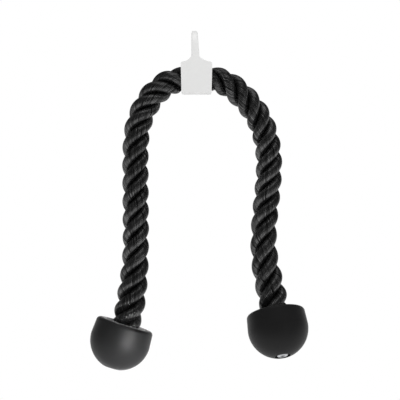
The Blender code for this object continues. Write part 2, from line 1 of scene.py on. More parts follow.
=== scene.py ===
"""Looks of a triceps rope attachment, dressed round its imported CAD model.

A laid rope of three strands runs through a cast connector and hangs as two legs,
each with a rubber stopper on its end. Metres, +Z up, +X along the connector's
bore, and the origin is the middle of the eye's hole. Seen from the front, along +Y.
"""

from __future__ import annotations

import logging
import math
from collections.abc import Sequence
from dataclasses import dataclass, field
from enum import Enum

import bmesh
import bpy
import numpy as np
from mathutils import Matrix, Vector


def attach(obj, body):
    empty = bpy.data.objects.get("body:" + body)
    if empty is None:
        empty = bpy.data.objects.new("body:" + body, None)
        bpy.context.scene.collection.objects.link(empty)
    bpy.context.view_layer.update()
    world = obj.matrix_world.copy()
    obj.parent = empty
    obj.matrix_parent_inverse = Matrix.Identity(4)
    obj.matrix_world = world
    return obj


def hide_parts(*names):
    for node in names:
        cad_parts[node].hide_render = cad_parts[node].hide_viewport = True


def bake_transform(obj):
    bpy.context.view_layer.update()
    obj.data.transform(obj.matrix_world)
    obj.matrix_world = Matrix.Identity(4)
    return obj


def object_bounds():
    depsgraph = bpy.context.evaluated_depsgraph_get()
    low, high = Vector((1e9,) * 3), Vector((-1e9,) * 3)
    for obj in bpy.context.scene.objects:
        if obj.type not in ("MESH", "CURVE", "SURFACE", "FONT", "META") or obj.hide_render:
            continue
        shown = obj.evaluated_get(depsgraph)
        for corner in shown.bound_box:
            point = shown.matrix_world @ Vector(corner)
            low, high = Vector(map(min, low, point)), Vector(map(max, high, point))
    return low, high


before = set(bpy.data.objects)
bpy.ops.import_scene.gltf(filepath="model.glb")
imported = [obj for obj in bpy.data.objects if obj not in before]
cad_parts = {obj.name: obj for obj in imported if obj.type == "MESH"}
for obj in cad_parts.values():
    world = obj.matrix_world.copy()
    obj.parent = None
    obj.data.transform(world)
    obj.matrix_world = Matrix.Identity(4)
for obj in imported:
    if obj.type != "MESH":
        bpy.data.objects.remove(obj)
CAD_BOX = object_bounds()
LOG = logging.getLogger("rope_attachment")
MERGE_DISTANCE = 1e-6
SHARP_DEGREES = 35.0

Point = tuple[float, float, float]
Pair = tuple[float, float]
Outline = list[Pair]
Shape = bmesh.types.BMesh
Piece = bpy.types.Object

# Route of each leg from the middle of its mouth: outwards, towards the back, down
LEFT_ROUTE: tuple[Point, ...] = (
    (0, 0, 0.0003), (0.0036, 0, 0.0009), (0.0105, 0, 0.0030), (0.0174, 0, 0.0064),
    (0.0243, 0, 0.0112), (0.0310, 0, 0.0175), (0.0368, 0, 0.0250), (0.0430, 0, 0.0358),
    (0.0476, 0, 0.0474), (0.0505, 0, 0.0592), (0.0524, 0, 0.0800), (0.0526, 0, 0.1100),
    (0.0524, 0, 0.1400), (0.0522, 0, 0.1700), (0.0524, 0, 0.1965), (0.0535, 0, 0.2197),
    (0.0561, 0, 0.2427), (0.0597, 0, 0.2657), (0.0641, 0, 0.2818), (0.0686, 0, 0.2961),
    (0.0731, 0, 0.3104),
)
RIGHT_ROUTE: tuple[Point, ...] = (
    (0, 0, 0.0003), (0.0040, 0, 0.0008), (0.0092, 0, 0.0021), (0.0161, 0, 0.0049),
    (0.0230, 0, 0.0092), (0.0301, 0, 0.0149), (0.0383, 0, 0.0231), (0.0484, 0, 0.0357),
    (0.0551, 0, 0.0472), (0.0597, 0, 0.0587), (0.0630, 0, 0.0710), (0.0655, 0, 0.0900),
    (0.0655, 0, 0.1100), (0.0642, 0, 0.1270), (0.0624, 0, 0.1440), (0.0605, 0, 0.1640),
    (0.0596, 0, 0.1852), (0.0609, -0.0006, 0.2082), (0.0650, -0.0027, 0.2312),
    (0.0697, -0.0065, 0.2519), (0.0725, -0.0111, 0.2674), (0.0747, -0.0157, 0.2815),
    (0.0770, -0.0204, 0.2956),
)


class Side(Enum):
    """The two halves of the attachment, as seen from the front."""

    LEFT = -1
    RIGHT = 1

    @property
    def word(self) -> str:
        """The side's word in the names of bodies and nodes."""
        return self.name.lower()

    @property
    def route(self) -> tuple[Point, ...]:
        """The points of this side's leg, from its mouth on."""
        return LEFT_ROUTE if self is Side.LEFT else RIGHT_ROUTE


@dataclass(frozen=True)
class Value:
    """A socket of numbers in a material, which arithmetic turns into Math nodes."""

    graph: Graph
    socket: bpy.types.NodeSocket

    def _maths(self, operation: str, *terms: Value | float) -> Value:
        """Add one Math node and return its result."""
        inputs = dict(enumerate(terms))
        return self.graph.node("ShaderNodeMath", {"operation": operation}, inputs)

    def __add__(self, other: Value | float) -> Value:
        """This plus another."""
        return self._maths("ADD", self, other)

    __radd__ = __add__

    def __sub__(self, other: Value | float) -> Value:
        """This minus another."""
        return self._maths("SUBTRACT", self, other)

    def __rsub__(self, other: float) -> Value:
        """A number minus this."""
        return self._maths("SUBTRACT", other, self)

    def __mul__(self, other: Value | float) -> Value:
        """This times another."""
        return self._maths("MULTIPLY", self, other)

    __rmul__ = __mul__

    def floor(self) -> Value:
        """The whole number below this."""
        return self._maths("FLOOR", self)

    def ridge(self) -> Value:
        """0 at each whole number and 1 halfway between two."""
        return self._maths("PINGPONG", self, 0.5) * 2.0

    def over(self, other: Value) -> Value:
        """The larger of this and another."""
        return self._maths("MAXIMUM", self, other)

    def within(self, levels: Pair) -> Value:
        """This, from 0 to 1, as a rise above a lowest level."""
        lowest, rise = levels
        return lowest + rise * self


class Graph:
    """The nodes of one material or of the world."""

    def __init__(self, tree: bpy.types.NodeTree) -> None:
        """Start from an empty tree.

        Args:
            tree: The node tree to fill.
        """
        self.tree = tree
        tree.nodes.clear()

    def node(
        self, kind: str, settings: dict[str, object], inputs: dict[str | int, object],
        output: str | int = 0,
    ) -> Value:
        """Add a node with its settings first and its inputs after them.

        Args:
            kind: The node's type.
            settings: Properties of the node, such as its operation.
            inputs: Values or links by the name or number of the input.
            output: Name or number of the output to return.

        Returns:
            The chosen output of the new node.
        """
        made = self.tree.nodes.new(kind)
        for name, value in settings.items():
            setattr(made, name, value)
        for key, value in inputs.items():
            if isinstance(value, Value):
                self.tree.links.new(value.socket, made.inputs[key])
            else:
                made.inputs[key].default_value = value
        return Value(self, made.outputs[output] if len(made.outputs) else None)

    def mix(self, share: Value, low: Point, high: Point) -> Value:
        """A colour between two, by a share from 0 to 1."""
        # Inputs 6 and 7 and output 2 are the ones that a Mix node keeps for colours
        inputs = {0: share, 6: (*low, 1.0), 7: (*high, 1.0)}
        return self.node("ShaderNodeMix", {"data_type": "RGBA"}, inputs, 2)

    def noise(self, place: Value, scale: float, detail: float, roughness: float = 0.5) -> Value:
        """Soft noise from 0 to 1 at a place."""
        inputs = {"Vector": place, "Scale": scale, "Detail": detail, "Roughness": roughness}
        return self.node("ShaderNodeTexNoise", {}, inputs, "Fac")

    def object_place(self) -> Value:
        """The place on the object, in metres."""
        return self.node("ShaderNodeTexCoord", {}, {}, "Object")

    def bump(self, height: Value, distance: float, strength: float) -> Value:
        """A normal that is bent by a height from 0 to 1."""
        inputs = {"Height": height, "Distance": distance, "Strength": strength}
        return self.node("ShaderNodeBump", {}, inputs)


class Finish:
    """A surface's finish, made once and shared by the pieces that have it.

    Its clouds and its grain are each a noise's scale, detail and roughness, and its
    relief is the grain's height in metres and how much of that is shown.
    """

    slot: str
    label: str
    dark: Point
    light: Point
    clouds: Point
    grain: Point
    roughness_levels: Pair
    relief: Pair
    constants: dict[str, float]

    def __init__(self) -> None:
        """Make the material."""
        self.material = bpy.data.materials.new(self.label)
        self.material.use_nodes = True
        graph = Graph(self.material.node_tree)
        inputs = self.inputs(graph)
        shader = graph.node("ShaderNodeBsdfPrincipled", {}, inputs)
        graph.node("ShaderNodeOutputMaterial", {}, {"Surface": shader})

    def inputs(self, graph: Graph) -> dict[str, object]:
        """The shader's sockets: tone and gloss drift in clouds over a fine grain."""
        place = graph.object_place()
        clouds = graph.noise(place, *self.clouds)
        return {
            "Base Color": graph.mix(clouds, self.dark, self.light),
            "Roughness": clouds.within(self.roughness_levels),
            "Normal": graph.bump(graph.noise(place, *self.grain), *self.relief),
            **self.constants,
        }

    def dress(self, piece: Piece) -> None:
        """Give a piece this finish."""
        piece.data.materials.clear()
        piece.data.materials.append(self.material)


class RopeFibre(Finish):
    """Black polypropylene yarns, each a bundle of fine straight fibres."""

    slot = "rope"
    label = "black_rope_fibre"
    dark = (0.0015, 0.0015, 0.0016)
    light = (0.016, 0.016, 0.0165)
    # Cells of each noise across one yarn and along a metre of it
    streak_cells = (3.7, 42.0)
    fibre_cells = (6.0, 60.0)
    # The lowest level of each factor of the tone, and its rise above that
    # The crown factor is painted shade: each yarn's tone falls from its crown into the valleys
    # between yarns
    valley_shade_levels = (0.10, 0.90)
    streak_levels = (-0.75, 2.4)
    fibre_levels = (0.20, 1.6)
    gloss_share = 1.2
    crown_relief_share = 0.4
    relief_height = 0.00035

    def inputs(self, graph: Graph) -> dict[str, object]:
        """Tone, gloss and relief that follow the yarns, with painted shade in the valleys between
        yarns.
        """
        lay = graph.node("ShaderNodeUVMap", {"uv_map": RopeLay.MAP_NAME}, {})
        across = graph.node("ShaderNodeSeparateXYZ", {}, {0: lay}, "X")
        along = graph.node("ShaderNodeSeparateXYZ", {}, {0: lay}, "Y")
        yarn_middle = across.floor() + 1 / 2
        streaks = self._stretched(graph, yarn_middle, along, self.streak_cells)
        fibres = self._stretched(graph, across, along, self.fibre_cells)
        # Painted shade: the crown ridge darkens each yarn's colour towards its edges, where it
        # meets the next yarn
        crowns = across.ridge()
        tone = crowns.within(self.valley_shade_levels) * streaks.within(self.streak_levels)
        tone = tone * fibres.within(self.fibre_levels)
        relief = fibres + self.crown_relief_share * crowns
        return {
            "Base Color": graph.mix(tone, self.dark, self.light),
            "Roughness": 0.5,
            "Specular IOR Level": 0.2,
            "Coat Weight": self.gloss_share * tone,
            "Coat Roughness": 0.25,
            "Coat IOR": 3.0,
            "Normal": graph.bump(relief, self.relief_height, strength=0.8),
        }

    @staticmethod
    def _stretched(graph: Graph, across: Value, along: Value, cells: Pair) -> Value:
        """Noise drawn out along the yarns."""
        inputs = {0: across * cells[0], 1: along * cells[1]}
        place = graph.node("ShaderNodeCombineXYZ", {}, inputs)
        return graph.noise(place, scale=1.0, detail=2.0)


class MouldedRubber(Finish):
    """Matte black rubber with the faint grain of its mould."""

    slot = "rubber"
    label = "moulded_black_rubber"
    dark = (0.0070, 0.0070, 0.0072)
    light = (0.0100, 0.0100, 0.0103)
    clouds = (38.0, 4.0, 0.5)
    grain = (2600.0, 2.0, 0.5)
    roughness_levels = (0.48, 0.08)
    relief = (0.00006, 0.35)
    constants = {"Specular IOR Level": 0.24, "Sheen Weight": 0.10, "Sheen Roughness": 0.3}


class SatinNickel(Finish):
    """Satin nickel plate on a tumbled casting."""

    slot = "nickel"
    label = "satin_nickel_plate"
    dark = (0.84, 0.84, 0.835)
    light = (0.88, 0.88, 0.875)
    clouds = (60.0, 5.0, 0.6)
    grain = (900.0, 3.0, 0.5)
    roughness_levels = (0.42, 0.12)
    relief = (0.00010, 0.25)
    constants = {"Metallic": 0.15}


class ZincPlate(Finish):
    """Bright zinc plate on the screws, washers and cups."""

    slot = "zinc"
    label = "bright_zinc_plate"
    dark = (0.50, 0.51, 0.53)
    light = (0.64, 0.65, 0.66)
    clouds = grain = (300.0, 3.0, 0.5)
    roughness_levels = (0.22, 0.20)
    relief = (0.00003, 0.3)
    constants = {"Metallic": 1.0}


class PalePaper(Finish):
    """The paper of the studio's floor, which is no part of the attachment."""

    label = "pale_paper"
    dark = (0.84, 0.84, 0.84)
    light = (0.88, 0.88, 0.88)

    def inputs(self, graph: Graph) -> dict[str, object]:
        """Matte white with a slight tooth."""
        tooth = graph.noise(graph.object_place(), scale=500.0, detail=3.0)
        return {
            "Base Color": graph.mix(tooth, self.dark, self.light),
            "Roughness": 0.9,
            "Specular IOR Level": 0.2,
        }


def read_table(reads: np.ndarray, at: np.ndarray, rows: np.ndarray) -> np.ndarray:
    """A table's rows at the reads, between the rows that it holds at rising places."""
    return np.stack([np.interp(reads, at, column) for column in rows.T], axis=1)


class Route:
    """A smooth curve through chosen points, read by the length along it."""

    STEP = 0.0005

    def __init__(self, points: Sequence[Point]) -> None:
        """Run a natural cubic spline through the points.

        Args:
            points: Places in metres, in order.
        """
        places, slopes = self._spline(np.array(points))
        steps = np.linalg.norm(np.diff(places, axis=0), axis=1)
        self.lengths = np.concatenate(([0], np.cumsum(steps)))
        self.places = places
        self.alongs = slopes / np.linalg.norm(slopes, axis=1)[:, None]
        self.sides = self._carried_sides()

    @classmethod
    def _spline(cls, points: np.ndarray) -> tuple[np.ndarray, np.ndarray]:
        """Close places and slopes on the spline through the points."""
        chords = np.linalg.norm(np.diff(points, axis=0), axis=1)
        knots = np.concatenate(([0], np.cumsum(chords)))
        count = len(points)
        system = np.eye(count)
        wanted = np.zeros((count, 3))
        for k in range(1, count - 1):
            system[k, k - 1:k + 2] = (chords[k - 1], 2 * (chords[k - 1] + chords[k]), chords[k])
            rise_after = (points[k + 1] - points[k]) / chords[k]
            rise_before = (points[k] - points[k - 1]) / chords[k - 1]
            wanted[k] = 6 * (rise_after - rise_before)
        bends = np.linalg.solve(system, wanted)
        reads = np.linspace(0, knots[-1], int(knots[-1] / cls.STEP) + 1)
        spans = np.clip(np.searchsorted(knots, reads, side="right") - 1, 0, count - 2)
        width = chords[spans][:, None]
        left = (knots[spans + 1] - reads)[:, None] / width
        right = 1 - left
        before, after = points[spans], points[spans + 1]
        bend_before, bend_after = bends[spans], bends[spans + 1]
        curve = (left ** 3 - left) * bend_before + (right ** 3 - right) * bend_after
        lean = (3 * right ** 2 - 1) * bend_after - (3 * left ** 2 - 1) * bend_before
        places = left * before + right * after + curve * width ** 2 / 6
        slopes = (after - before) / width + lean * width / 6
        return places, slopes

    def _carried_sides(self) -> np.ndarray:
        """A direction square to the curve, carried along it without twist."""
        sides = []
        side = Vector((0, -1, 0))
        for along in self.alongs:
            tangent = Vector(along)
            side = (side - tangent * side.dot(tangent)).normalized()
            sides.append(tuple(side))
        return np.array(sides)

    def read(self, lengths: np.ndarray) -> tuple[np.ndarray, np.ndarray, np.ndarray]:
        """Places, directions along and directions aside at many lengths.

        Args:
            lengths: Lengths along the curve, in metres.

        Returns:
            Three arrays with one row for each length.
        """
        places, alongs, sides = (
            read_table(lengths, self.lengths, table)
            for table in (self.places, self.alongs, self.sides)
        )
        alongs, sides = (rows / np.linalg.norm(rows, axis=1)[:, None] for rows in (alongs, sides))
        return places, alongs, sides

    def place(self, length: float) -> Vector:
        """The place at one length."""
        return Vector(self.read(np.array([length]))[0][0])

    def length_near(self, place: Vector) -> float:
        """The length at which the curve is closest to a place."""
        distances = np.linalg.norm(self.places - np.array(place), axis=1)
        return float(self.lengths[int(np.argmin(distances))])


def smooth(mesh: bpy.types.Mesh, sharp_degrees: float = SHARP_DEGREES) -> None:
    """Shade a mesh smooth, except over edges that turn by more than an angle."""
    mesh.shade_smooth()
    mesh.set_sharp_from_angle(angle=math.radians(sharp_degrees))


def linked(name: str, data: bpy.types.ID) -> Piece:
    """A new object in the scene, with its data."""
    item = bpy.data.objects.new(name, data)
    bpy.context.scene.collection.objects.link(item)
    return item


def new_piece(name: str, shape: Shape, sharp_degrees: float = SHARP_DEGREES) -> Piece:
    """Make a piece from a bmesh, smooth except over sharp edges.

    Args:
        name: The piece's name.
        shape: Its shape, which is freed.
        sharp_degrees: Edges that turn by more than this stay sharp.

    Returns:
        The object, at the origin.
    """
    mesh = bpy.data.meshes.new(name)
    shape.to_mesh(mesh)
    shape.free()
    smooth(mesh, sharp_degrees)
    return linked(name, mesh)


def arc(middle: Pair, radius: float, start: float, end: float, steps: int) -> Outline:
    """Points on an arc, from its start to its end in degrees, both included."""
    angles = np.radians(np.linspace(start, end, steps + 1))
    return [(middle[0] + radius * math.cos(a), middle[1] + radius * math.sin(a)) for a in angles]


def rounded(corners: Sequence[Pair], radii: Sequence[float], steps: int) -> Outline:
    """A closed outline whose corners are rounded.

    Args:
        corners: The sharp corners in order.
        radii: The radius at each corner.
        steps: Steps in each rounding.

    Returns:
        The outline's points.
    """
    outline = []
    for index, (corner, radius) in enumerate(zip(corners, radii)):
        point = Vector(corner)
        before = (Vector(corners[index - 1]) - point).normalized()
        after = (Vector(corners[(index + 1) % len(corners)]) - point).normalized()
        half = before.angle(after) / 2
        middle = point + (before + after).normalized() * (radius / math.sin(half))
        start = point + before * (radius / math.tan(half)) - middle
        end = point + after * (radius / math.tan(half)) - middle
        outline += [tuple(middle + start.slerp(end, k / steps) * radius) for k in range(steps + 1)]
    return outline


def turned(outline: Outline, sides: int) -> Shape:
    """A shape turned about the Z axis.

    Args:
        outline: Points of (radius, height), which join up unless they start on the axis.
        sides: Steps of the full turn.

    Returns:
        The turned bmesh, with its faces outwards.
    """
    shape = bmesh.new()
    points = [shape.verts.new((radius, 0, height)) for radius, height in outline]
    ends = points[1:] if outline[0][0] == 0 else points[1:] + points[:1]
    edges = [shape.edges.new(pair) for pair in zip(points, ends)]
    bmesh.ops.spin(
        shape, geom=points + edges, cent=(0, 0, 0), axis=(0, 0, 1),
        angle=2 * math.pi, steps=sides, use_merge=True,
    )
    bmesh.ops.remove_doubles(shape, verts=shape.verts, dist=MERGE_DISTANCE)
    bmesh.ops.recalc_face_normals(shape, faces=shape.faces)
    return shape


def extruded(outline: Outline, depth: float, edge_radius: float, segments: int) -> Shape:
    """A plate with rounded rims.

    Args:
        outline: Its points of (x, z).
        depth: Its thickness along Y, half on each side of 0.
        edge_radius: Radius of both rims.
        segments: Steps of their rounding.

    Returns:
        The plate.
    """
    shape = bmesh.new()
    face = shape.faces.new([shape.verts.new((x, -depth / 2, z)) for x, z in outline])
    raised = bmesh.ops.extrude_face_region(shape, geom=[face])
    back = [item for item in raised["geom"] if isinstance(item, bmesh.types.BMVert)]
    bmesh.ops.translate(shape, verts=back, vec=(0, depth, 0))
    rims = [edge for edge in shape.edges if edge.verts[0].co.y * edge.verts[1].co.y > 0]
    bmesh.ops.bevel(
        shape, geom=rims, offset=edge_radius, offset_type="OFFSET", segments=segments,
        profile=0.5, affect="EDGES", clamp_overlap=True, material=-1,
    )
    bmesh.ops.recalc_face_normals(shape, faces=shape.faces)
    return shape


def combine(piece: Piece, form: Shape, operation: str) -> None:
    """Add a form to a piece or cut it away.

    Args:
        piece: The piece, whose mesh is replaced.
        form: The form, which is freed.
        operation: UNION or DIFFERENCE.
    """
    tool = new_piece("form", form)
    modifier = piece.modifiers.new(tool.name, "BOOLEAN")
    modifier.operation = operation
    modifier.solver = "EXACT"
    modifier.object = tool
    graph = bpy.context.evaluated_depsgraph_get()
    mesh = bpy.data.meshes.new_from_object(piece.evaluated_get(graph), depsgraph=graph)
    piece.modifiers.clear()
    piece.data = mesh
    bpy.data.objects.remove(tool)


class Profile:
    """A value that changes along the rope, given at stations on its route."""

    def __init__(self, stations: Sequence[Pair]) -> None:
        """Take the value at chosen places.

        Args:
            stations: Pairs of a length along the route and the value there.
        """
        self.lengths, self.values = np.array(sorted(stations)).T

    def read(self, lengths: np.ndarray) -> np.ndarray:
        """The values at many lengths, easing from one station to the next."""
        last = len(self.lengths) - 2
        spans = np.clip(np.searchsorted(self.lengths, lengths, side="right") - 1, 0, last)
        starts, ends = self.lengths[spans], self.lengths[spans + 1]
        along = np.clip((lengths - starts) / (ends - starts), 0, 1)
        eased = along * along * (3 - 2 * along)
        return self.values[spans] + (self.values[spans + 1] - self.values[spans]) * eased


@dataclass(frozen=True)
class RopeLay:
    """How the rope is laid: three strands of parallel yarns, in a right-hand lay."""

    MAP_NAME = "lay"

    diameter: float = 0.0306
    pitch: float = 0.0620
    phase_degrees: float = -6.0
    strands: int = 3
    depth_share: float = 0.485
    width_share: float = 0.545
    corner_power: int = -8
    least_sine: float = 1e-6
    seam_gap: float = 0.0001
    yarns: int = 28
    yarn_relief: float = 0.00050
    yarn_columns: tuple[float, ...] = (0.0, 0.9, 0.9)
    row_length: float = 0.0013
    outline_steps: int = 720
    sharp_degrees: float = 80.0
    # How far the lay has run ahead of its pitch at lengths from the left rope end
    leads: tuple[Pair, ...] = (
        (0.047, 0.0026), (0.137, 0), (0.237, -0.0003), (0.302, -0.0013),
        (0.401, 0.0007), (0.508, 0.0064), (0.549, 0.0064), (0.656, -0.0045),
    )

    @property
    def radius(self) -> float:
        """Half the rope's diameter."""
        return self.diameter / 2

    def outline(self) -> tuple[np.ndarray, np.ndarray]:
        """The strand's outline square to the rope, from its crown round.

        Returns:
            The points at even steps of the outline, outwards and aside from the
            rope's middle, and the outward normals there.
        """
        depth = self.depth_share * self.radius - self.yarn_relief
        width = self.width_share * self.radius - self.yarn_relief
        middle = self.radius - self.yarn_relief - depth
        half = math.pi / self.strands
        angles = np.linspace(0, 2 * math.pi, self.outline_steps + 1)
        oval = depth * width / np.hypot(width * np.cos(angles), depth * np.sin(angles))
        reach = middle * math.sin(half) - self.seam_gap - self.yarn_relief
        turned_by = np.abs(np.where(angles > math.pi, angles - 2 * math.pi, angles))
        wall = reach / np.maximum(np.sin(turned_by - half), self.least_sine)
        power = self.corner_power
        spread = (oval ** power + wall ** power) ** (1 / power)
        points = np.stack((middle + spread * np.cos(angles), spread * np.sin(angles)), axis=1)
        steps = np.linalg.norm(np.diff(points, axis=0), axis=1)
        lengths = np.concatenate(([0], np.cumsum(steps)))
        even = read_table(np.linspace(0, lengths[-1], self.outline_steps + 1), lengths, points)
        ahead = np.roll(even[:-1], -1, axis=0) - np.roll(even[:-1], 1, axis=0)
        ahead /= np.linalg.norm(ahead, axis=1)[:, None]
        normals = np.stack((ahead[:, 1], -ahead[:, 0]), axis=1)
        return even, np.concatenate((normals, normals[:1]))

    def yarn_turns(self, outline: np.ndarray) -> float:
        """Turns of the yarns round a strand in a metre, so that crowns show them straight."""
        perimeter = np.linalg.norm(np.diff(outline, axis=0), axis=1).sum()
        return 2 * math.pi * self.radius / (self.pitch * perimeter)

    def strand(self, route: Route, girth: Profile, start: float, end: float, number: int) -> Shape:
        """One strand along a stretch of the route, with its yarns.

        Args:
            route: The rope's centreline.
            girth: The rope's width along it, as a share of its full width.
            start: Length at which the strand starts.
            end: Length at which it ends.
            number: The strand's place in the lay, from 0.

        Returns:
            The closed strand.
        """
        columns = self.yarns * len(self.yarn_columns)
        rows = max(2, round(abs(end - start) / self.row_length))
        shape = bmesh.new()
        bmesh.ops.create_grid(shape, x_segments=columns, y_segments=rows, size=0.5)
        grid = np.array([vert.co for vert in shape.verts])
        column = np.rint((grid[:, 0] + 0.5) * columns)
        row = np.rint((grid[:, 1] + 0.5) * rows)
        length = start + (end - start) * row / rows
        self._write_map(shape, column, length, number)
        wrapped = self._wrapped(route, girth, length, column, number)
        for vert, place in zip(shape.verts, wrapped):
            vert.co = place
        bmesh.ops.remove_doubles(shape, verts=shape.verts, dist=MERGE_DISTANCE)
        rims = [edge for edge in shape.edges if edge.is_boundary]
        bmesh.ops.holes_fill(shape, edges=rims, sides=0)
        bmesh.ops.recalc_face_normals(shape, faces=shape.faces)
        return shape

    def _wrapped(
        self, route: Route, girth: Profile, length: np.ndarray, column: np.ndarray, number: int,
    ) -> np.ndarray:
        """Places of a strand's points, by their length along the rope and their column."""
        outline, normals = self.outline()
        columns = self.yarns * len(self.yarn_columns)
        share = (column / columns - self.yarn_turns(outline) * length) % 1.0
        at = np.linspace(0, 1, len(outline))
        offset, normal = (read_table(share, at, rows) for rows in (outline, normals))
        relief = np.array(self.yarn_columns)[column.astype(int) % len(self.yarn_columns)]
        offset = offset + normal * (relief * self.yarn_relief)[:, None]
        offset = offset * girth.read(length)[:, None]
        place, along, side = route.read(length)
        across = np.cross(along, side)
        turns = number / self.strands + (length + Profile(self.leads).read(length)) / self.pitch
        turn = math.radians(self.phase_degrees) + 2 * math.pi * turns
        cosine, sine = np.cos(turn)[:, None], np.sin(turn)[:, None]
        outwards = side * cosine + across * sine
        aside = across * cosine - side * sine
        return place + outwards * offset[:, :1] + aside * offset[:, 1:]

    def _write_map(
        self, shape: Shape, column: np.ndarray, length: np.ndarray, number: int,
    ) -> None:
        """Keep each corner's yarn number and length as a UV map."""
        layer = shape.loops.layers.uv.new(self.MAP_NAME)
        yarn = number * self.yarns + column / len(self.yarn_columns)
        shape.verts.index_update()
        for face in shape.faces:
            for loop in face.loops:
                index = loop.vert.index
                loop[layer].uv = (yarn[index], length[index])

    def stretch(self, name: str, route: Route, girth: Profile, start: float, end: float) -> Piece:
        """A stretch of the whole rope as one piece."""
        whole = bmesh.new()
        for number in range(self.strands):
            strand = self.strand(route, girth, start, end, number)
            mesh = bpy.data.meshes.new(f"{name}_{number}")
            strand.to_mesh(mesh)
            strand.free()
            whole.from_mesh(mesh)
            bpy.data.meshes.remove(mesh)
        return new_piece(name, whole, self.sharp_degrees)


@dataclass
class Connector:
    """The cast connector: a collar whose shoulders flare up into a lug with an eye."""

    eye_hole_diameter: float = 0.0200
    eye_rim_width: float = 0.0078
    eye_edge_radius: float = 0.0008
    lug_left_reach: float = 0.0040
    lug_top_thickness: float = 0.0073
    lug_foot_thickness: float = 0.0100
    lug_edge_radius: float = 0.0024
    lug_inset: float = 0.0002
    lug_sink: float = 0.0028
    collar_top: float = -0.0185
    collar_top_length: float = 0.0361
    collar_bottom_length: float = 0.0344
    collar_height: float = 0.0361
    collar_depth: float = 0.0400
    collar_top_radius: float = 0.0028
    collar_bottom_radius: float = 0.0024
    collar_edge_radius: float = 0.0018
    collar_shift: float = 0.0021
    flare_rise: float = 0.0070
    flare_sink: float = 0.0004
    flare_power: float = 1.3
    bore_depth: float = 0.0189
    bore_radius: float = 0.01465
    mouth_radius: float = 0.0018
    overrun: float = 0.004
    lock_hole_radius: float = 0.0043
    corner_steps: int = 8
    edge_steps: int = 6
    flare_steps: int = 24
    head_steps: int = 72
    bore_sides: int = 96
    lock_hole_sides: int = 48

    @property
    def head_radius(self) -> float:
        """Radius of the lug's round head."""
        return self.eye_hole_diameter / 2 + self.eye_rim_width

    @property
    def bore_middle(self) -> Vector:
        """The middle of the bore's axis."""
        return Vector((self.collar_shift, 0, self.collar_top - self.bore_depth))

    @property
    def bore_length(self) -> float:
        """Length of the collar at the bore's axis."""
        narrowing = (self.collar_top_length - self.collar_bottom_length) * self.bore_depth
        return self.collar_top_length - narrowing / self.collar_height

    def mouth(self, side: Side) -> Vector:
        """The middle of a mouth, on the bore's axis."""
        return self.bore_middle + Vector((side.value * self.bore_length / 2, 0, 0))

    def lug_thickness(self, height: float) -> float:
        """The lug's thickness along X at a height."""
        fall = (self.head_radius - height) / (self.head_radius - self.collar_top)
        return self.lug_top_thickness + (self.lug_foot_thickness - self.lug_top_thickness) * fall

    def build(self, finish: Finish) -> Piece:
        """Make the plated casting and let it stand for its CAD node."""
        casting = new_piece("connector_casting", self._collar())
        combine(casting, self._lug(), "UNION")
        for cutter in (self._eye(), self._bore(), self._lock_hole()):
            combine(casting, cutter, "DIFFERENCE")
        smooth(casting.data)
        finish.dress(casting)
        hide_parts("connector")
        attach(casting, "connector")
        return casting

    def _flare(self, side: Side) -> Outline:
        """The hollow from a shoulder of the collar up to the lug's face on that side."""
        half = self.collar_top_length / 2 - self.collar_top_radius
        shoulder = self.collar_shift + side.value * half
        thickness = 0.0
        if side is Side.RIGHT:
            thickness = self.lug_thickness(self.collar_top + self.flare_rise)
        face = thickness - self.lug_left_reach - side.value * self.flare_sink
        points = []
        for step in range(1, self.flare_steps + 1):
            angle = math.pi / 2 * step / self.flare_steps
            out = face + (shoulder - face) * (1 - math.sin(angle) ** self.flare_power)
            rise = self.flare_rise * (1 - max(0.0, math.cos(angle)) ** self.flare_power)
            points.append((out, self.collar_top + rise))
        return points

    def _collar(self) -> Shape:
        """The block that the rope passes through, with the flare on its shoulders."""
        bottom = self.collar_top - self.collar_height
        top_half, bottom_half = self.collar_top_length / 2, self.collar_bottom_length / 2
        corners = [
            (self.collar_shift - top_half, self.collar_top),
            (self.collar_shift + top_half, self.collar_top),
            (self.collar_shift + bottom_half, bottom),
            (self.collar_shift - bottom_half, bottom),
        ]
        radii = [self.collar_top_radius] * 2 + [self.collar_bottom_radius] * 2
        block = rounded(corners, radii, self.corner_steps)
        first = self.corner_steps + 1
        flare = self._flare(Side.LEFT) + self._flare(Side.RIGHT)[::-1]
        outline = block[:first] + flare + block[first:]
        return extruded(outline, self.collar_depth, self.collar_edge_radius, self.edge_steps)

    def _lug(self) -> Shape:
        """The lug, a plate square to X with a round head and an upright foot."""
        foot = self.collar_depth / 2 - self.lug_inset
        knee = self.collar_top + self.flare_rise
        tangent = math.acos(self.head_radius / math.hypot(foot, knee))
        start = math.degrees(math.atan2(knee, foot) + tangent)
        head = arc((0, 0), self.head_radius, start, 180 - start, self.head_steps)
        low = self.collar_top - self.lug_sink
        outline = [(-foot, knee), (-foot, low), (foot, low), (foot, knee)] + head
        thickness = self.lug_top_thickness
        plate = extruded(outline, thickness, self.lug_edge_radius, self.edge_steps)
        plate.transform(Matrix.Rotation(math.pi / 2, 4, "Z"))
        self._lean(plate)
        return plate

    def _lean(self, shape: Shape) -> None:
        """Give a shape made for a plate of the lug's top thickness the lug's own faces."""
        for corner in shape.verts:
            share = corner.co.x / self.lug_top_thickness + 1 / 2
            corner.co.x = self.lug_thickness(corner.co.z) * share - self.lug_left_reach

    def _through(self, radius: float, edge_radius: float, thickness: float) -> Shape:
        """A cutter along X through a wall, which rounds both mouths of its hole."""
        reach = thickness / 2
        wide = radius + edge_radius
        mouth = arc((wide, reach - edge_radius), edge_radius, 180, 90, self.corner_steps)
        upper = mouth + [(wide, reach + self.overrun), (0, reach + self.overrun)]
        lower = [(out, -up) for out, up in upper[::-1]]
        cutter = turned(lower + upper, self.bore_sides)
        cutter.transform(Matrix.Rotation(math.pi / 2, 4, "Y"))
        return cutter

    def _eye(self) -> Shape:
        """The cutter of the eye's hole, with the lug's lean."""
        radius = self.eye_hole_diameter / 2
        cutter = self._through(radius, self.eye_edge_radius, self.lug_top_thickness)
        self._lean(cutter)
        return cutter

